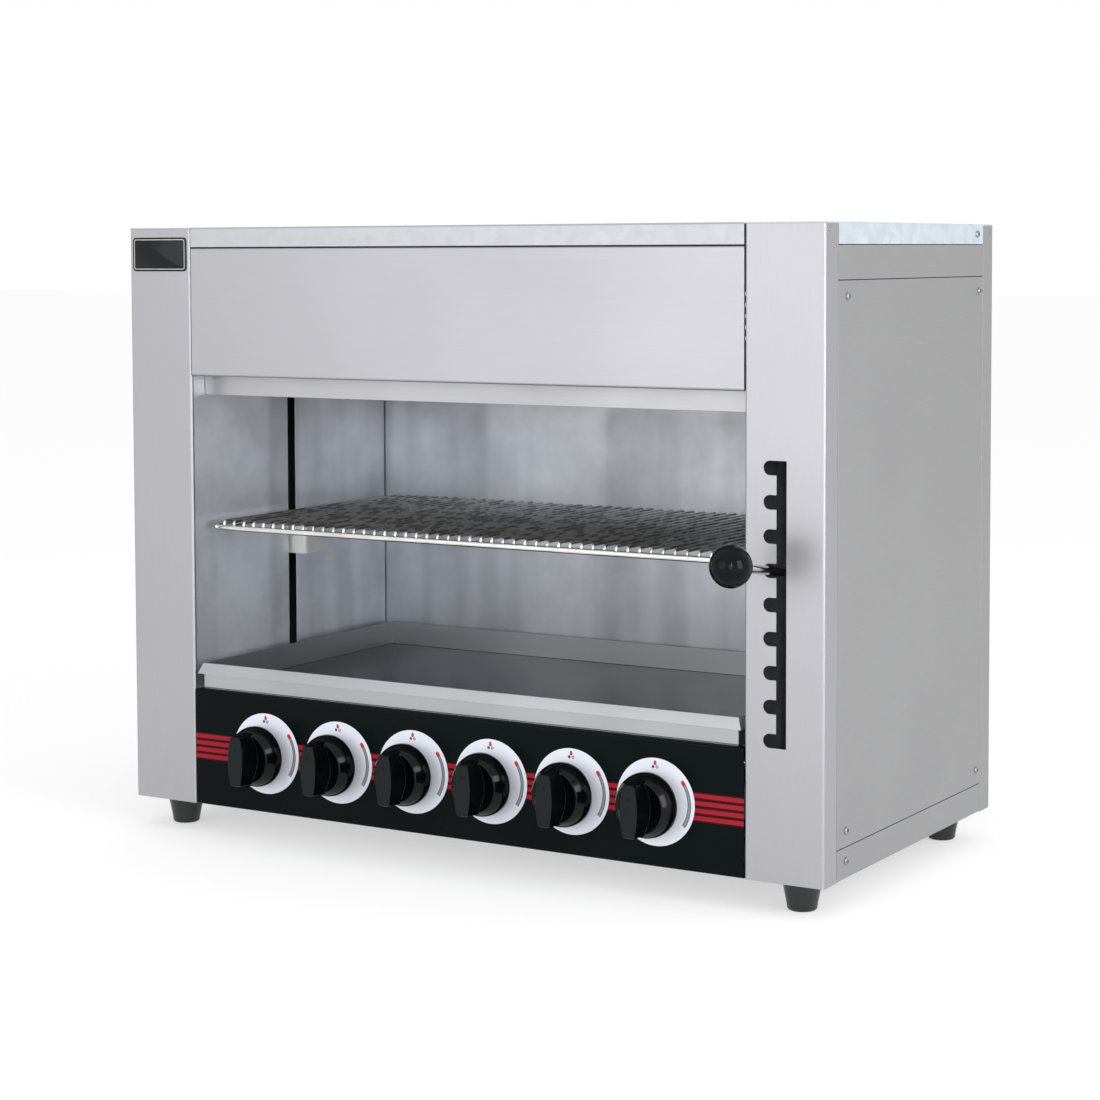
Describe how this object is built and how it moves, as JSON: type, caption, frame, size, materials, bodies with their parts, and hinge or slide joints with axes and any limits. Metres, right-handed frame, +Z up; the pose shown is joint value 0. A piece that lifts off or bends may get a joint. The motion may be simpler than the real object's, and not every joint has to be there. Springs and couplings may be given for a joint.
{
  "type": "cheese melter",
  "caption": "Free-standing stainless gas cheese melter with infrared burners over a lever-raised wire rack, a drip tray and a row of dial knobs.",
  "frame": {"origin": "on the floor under the middle of the overall box, which takes in the lever ball in front and the gas connection behind", "axes": "+X to the right as seen from the front, +Y to the back, +Z up"},
  "size_m": [0.804, 0.5095, 0.63],
  "materials": {
    "stainless": "brushed stainless steel sheet, grain along each piece",
    "galvanised_sheet": "bright bluish zinc-coated sheet",
    "cavity_steel": "duller stainless steel, lightly heat-tinted",
    "screw_steel": "zinc-plated pan-head screws and bolts",
    "black_enamel": "satin black coating",
    "dial_white": "printed pale plate",
    "gas_steel": "plain steel",
    "brass": "machined brass",
    "ceramic": "porous ceramic burner plaque",
    "bright_rod": "bright plated steel rod and wire",
    "bracket_steel": "bright stainless strip",
    "rubber": "black rubber",
    "black_plastic": "glossy black moulding",
    "stem_steel": "turned steel"
  },
  "bodies": {
    "cabinet": {"base_pan": "stainless", "left_front_column": "stainless", "right_front_column": "stainless", "left_rear_post": "stainless", "right_rear_post": "stainless", "top_cover": "galvanised_sheet", "hood_panel": "stainless", "upper_side_rails": "stainless", "left_side_panel": "stainless", "right_side_panel": "stainless", "side_screws": "screw_steel", "back_panel": "stainless", "back_screws": "screw_steel", "cavity_left_wall": "cavity_steel", "cavity_right_wall": "cavity_steel", "cavity_back_wall": "cavity_steel", "cavity_floor": "cavity_steel", "control_panel": "black_enamel", "dial_plates": "dial_white", "gas_manifold": "gas_steel", "gas_taps": "brass", "burner_pipes": "gas_steel", "jet_holders": "brass", "gas_inlet": "brass", "burner_frame": "galvanised_sheet", "burner_housings": "gas_steel", "burner_plaques": "ceramic", "venturi_tubes": "gas_steel", "guide_rods": "bright_rod", "guide_brackets": "gas_steel", "feet": "rubber", "foot_bolts": "screw_steel", "badge_plate": "black_enamel"},
    "carriage": {"left_slider": "gas_steel", "right_slider": "gas_steel", "left_rack_bracket": "bracket_steel", "right_rack_bracket": "bracket_steel", "lift_yoke": "gas_steel", "lever_pivot_pin": "bright_rod", "rack_frame": "bright_rod", "rack_wires": "bright_rod", "rack_cross_wires": "bright_rod"},
    "lever": {"lever_rod": "bright_rod", "lever_ball": "black_plastic"},
    "tray": {"drip_tray": "cavity_steel"},
    "tap_1": {"tap_stem_1": "stem_steel"},
    "dial_1": {"knob_1": "black_plastic"},
    "tap_2": {"tap_stem_2": "stem_steel"},
    "dial_2": {"knob_2": "black_plastic"},
    "tap_3": {"tap_stem_3": "stem_steel"},
    "dial_3": {"knob_3": "black_plastic"},
    "tap_4": {"tap_stem_4": "stem_steel"},
    "dial_4": {"knob_4": "black_plastic"},
    "tap_5": {"tap_stem_5": "stem_steel"},
    "dial_5": {"knob_5": "black_plastic"},
    "tap_6": {"tap_stem_6": "stem_steel"},
    "dial_6": {"knob_6": "black_plastic"}
  },
  "joints": [
    {"name": "rack_lift", "type": "slide", "parent": "cabinet", "child": "carriage", "axis": [0, 0, 1], "range_m": [-0.09315, 0.09315]},
    {"name": "lever_swing", "type": "hinge", "parent": "carriage", "child": "lever", "pos_m": [0.357, -0.03025, 0.29338], "axis": [0, 0, 1], "range_deg": [0, 4.9]},
    {"name": "tray_slide", "type": "slide", "parent": "cabinet", "child": "tray", "axis": [0, -1, 0], "range_m": [0, 0.3]},
    {"name": "knob_push_1", "type": "slide", "parent": "cabinet", "child": "tap_1", "axis": [0, 1, 0], "range_m": [0, 0.003], "stiffness_N_per_m": 800},
    {"name": "knob_turn_1", "type": "hinge", "parent": "tap_1", "child": "dial_1", "pos_m": [-0.2275, -0.19025, 0.0915], "axis": [0, 1, 0], "range_deg": [0, 125]},
    {"name": "knob_push_2", "type": "slide", "parent": "cabinet", "child": "tap_2", "axis": [0, 1, 0], "range_m": [0, 0.003], "stiffness_N_per_m": 800},
    {"name": "knob_turn_2", "type": "hinge", "parent": "tap_2", "child": "dial_2", "pos_m": [-0.1365, -0.19025, 0.0915], "axis": [0, 1, 0], "range_deg": [0, 125]},
    {"name": "knob_push_3", "type": "slide", "parent": "cabinet", "child": "tap_3", "axis": [0, 1, 0], "range_m": [0, 0.003], "stiffness_N_per_m": 800},
    {"name": "knob_turn_3", "type": "hinge", "parent": "tap_3", "child": "dial_3", "pos_m": [-0.0455, -0.19025, 0.0915], "axis": [0, 1, 0], "range_deg": [0, 125]},
    {"name": "knob_push_4", "type": "slide", "parent": "cabinet", "child": "tap_4", "axis": [0, 1, 0], "range_m": [0, 0.003], "stiffness_N_per_m": 800},
    {"name": "knob_turn_4", "type": "hinge", "parent": "tap_4", "child": "dial_4", "pos_m": [0.0455, -0.19025, 0.0915], "axis": [0, 1, 0], "range_deg": [0, 125]},
    {"name": "knob_push_5", "type": "slide", "parent": "cabinet", "child": "tap_5", "axis": [0, 1, 0], "range_m": [0, 0.003], "stiffness_N_per_m": 800},
    {"name": "knob_turn_5", "type": "hinge", "parent": "tap_5", "child": "dial_5", "pos_m": [0.1365, -0.19025, 0.0915], "axis": [0, 1, 0], "range_deg": [0, 125]},
    {"name": "knob_push_6", "type": "slide", "parent": "cabinet", "child": "tap_6", "axis": [0, 1, 0], "range_m": [0, 0.003], "stiffness_N_per_m": 800},
    {"name": "knob_turn_6", "type": "hinge", "parent": "tap_6", "child": "dial_6", "pos_m": [0.2275, -0.19025, 0.0915], "axis": [0, 1, 0], "range_deg": [0, 125]}
  ]
}
